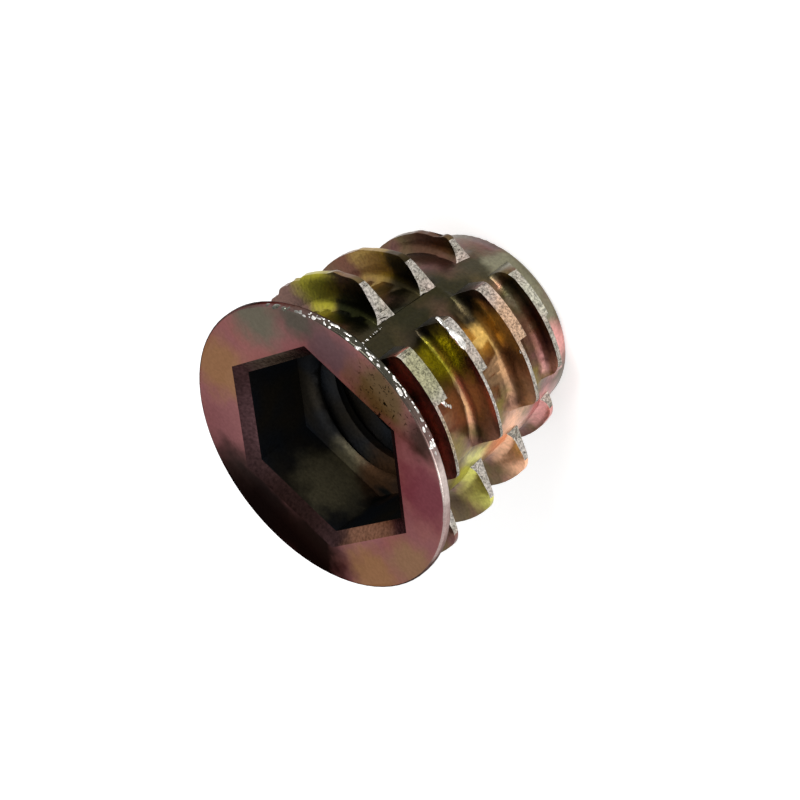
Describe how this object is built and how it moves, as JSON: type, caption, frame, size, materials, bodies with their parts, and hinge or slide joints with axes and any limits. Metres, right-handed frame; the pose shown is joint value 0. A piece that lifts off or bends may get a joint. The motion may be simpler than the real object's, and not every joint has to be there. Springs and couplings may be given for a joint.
{
  "type": "threaded insert",
  "caption": "Threaded insert for wood with a thin flange, a hexagon socket drive, a coarse outer thread and a threaded bore.",
  "frame": {"origin": "middle of the tip face, on the shank axis", "axes": "+Z along the shank axis from the tip to the flange, +X across two opposite flats of the hexagon socket"},
  "size_m": [0.0138, 0.0138, 0.0119],
  "materials": {
    "cast_zinc": "cast zinc with an iridescent yellow chromate coat"
  },
  "bodies": {
    "root": {"insert_body": "cast_zinc"}
  },
  "joints": []
}
